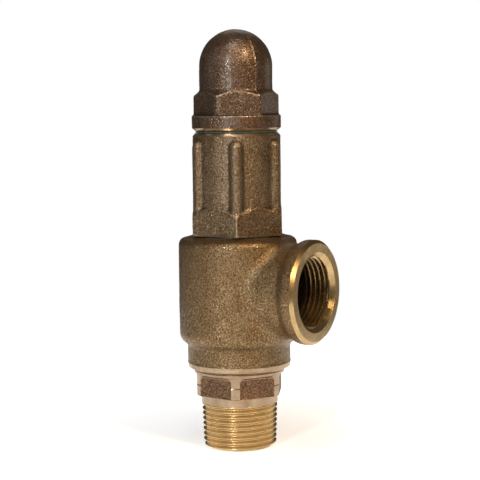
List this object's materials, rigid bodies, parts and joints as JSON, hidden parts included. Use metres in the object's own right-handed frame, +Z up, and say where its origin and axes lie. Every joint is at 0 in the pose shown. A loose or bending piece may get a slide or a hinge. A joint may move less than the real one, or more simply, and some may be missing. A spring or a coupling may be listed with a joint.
{
  "type": "pressure relief valve",
  "caption": "Bronze safety relief valve with a closed spring bonnet, domed cap, male threaded inlet and female threaded side outlet.",
  "frame": {"origin": "centre of the inlet's end face, on the valve's main axis", "axes": "+Z up the valve's main axis from inlet to cap, +X out of the side outlet, +Y completes the right hand"},
  "size_m": [0.0661, 0.053, 0.1857],
  "materials": {
    "body": "sand-cast bronze with machined ends",
    "seat_nozzle": "turned brass, cast hexagon",
    "nozzle_gasket": "pressed fibre sheet",
    "bonnet": "sand-cast bronze",
    "bonnet_gasket": "pressed fibre sheet",
    "stem_guide": "turned",
    "spring": "drawn spring wire",
    "disc_holder": "turned",
    "disc_insert": "PTFE",
    "disc_retainer": "turned stainless steel",
    "retainer_screw": "stainless steel",
    "pivot_ball": "polished steel",
    "stem": "ground stainless steel",
    "stem_retaining_ring": "spring steel",
    "lower_spring_seat": "zinc plated",
    "spring_seat_circlip": "spring steel",
    "upper_spring_seat": "zinc plated",
    "adjusting_screw": "turned",
    "lock_washer": "zinc plated",
    "lock_nut": "turned",
    "cap_gasket": "pressed fibre sheet",
    "cap": "sand-cast bronze"
  },
  "bodies": {
    "valve_body": {"body": "body", "seat_nozzle": "seat_nozzle", "nozzle_gasket": "nozzle_gasket", "bonnet": "bonnet", "bonnet_gasket": "bonnet_gasket", "stem_guide": "stem_guide", "spring": "spring"},
    "disc_and_stem": {"disc_holder": "disc_holder", "disc_insert": "disc_insert", "disc_retainer": "disc_retainer", "retainer_screw": "retainer_screw", "pivot_ball": "pivot_ball", "stem": "stem", "stem_retaining_ring": "stem_retaining_ring", "lower_spring_seat": "lower_spring_seat", "spring_seat_circlip": "spring_seat_circlip"},
    "upper_seat": {"upper_spring_seat": "upper_spring_seat"},
    "set_screw": {"adjusting_screw": "adjusting_screw"},
    "nut_washer": {"lock_washer": "lock_washer"},
    "nut": {"lock_nut": "lock_nut"},
    "gasket_ring": {"cap_gasket": "cap_gasket"},
    "screw_cap": {"cap": "cap"}
  },
  "joints": [
    {"name": "valve_lift", "type": "slide", "parent": "valve_body", "child": "disc_and_stem", "axis": [0, 0, 1], "range_m": [0, 0.0025], "stiffness_N_per_m": 2500, "springref_m": -0.0005, "deforming": ["spring"]},
    {"name": "upper_seat_travel", "type": "slide", "parent": "valve_body", "child": "upper_seat", "axis": [0, 0, 1], "range_m": [-0.003, 0.003], "deforming": ["spring"]},
    {"name": "adjusting_screw_turn", "type": "hinge", "parent": "upper_seat", "child": "set_screw", "pos_m": [0, 0, 0.15], "axis": [0, 0, 1], "range_deg": [-720, 720]},
    {"name": "lock_nut_travel", "type": "slide", "parent": "valve_body", "child": "nut_washer", "axis": [0, 0, 1], "range_m": [0, 0.003]},
    {"name": "lock_nut_turn", "type": "hinge", "parent": "nut_washer", "child": "nut", "pos_m": [0, 0, 0.1558], "axis": [0, 0, 1], "range_deg": [0, 720]},
    {"name": "cap_travel", "type": "slide", "parent": "valve_body", "child": "gasket_ring", "axis": [0, 0, 1], "range_m": [0, 0.0075]},
    {"name": "cap_turn", "type": "hinge", "parent": "gasket_ring", "child": "screw_cap", "pos_m": [0, 0, 0.1414], "axis": [0, 0, 1], "range_deg": [0, 1800]}
  ],
  "couplings": [
    {"joint": "adjusting_screw_turn", "follows": "upper_seat_travel", "rad_per_m": 4188.8},
    {"joint": "lock_nut_turn", "follows": "lock_nut_travel", "rad_per_m": 4188.8},
    {"joint": "cap_turn", "follows": "cap_travel", "rad_per_m": 4188.8}
  ]
}
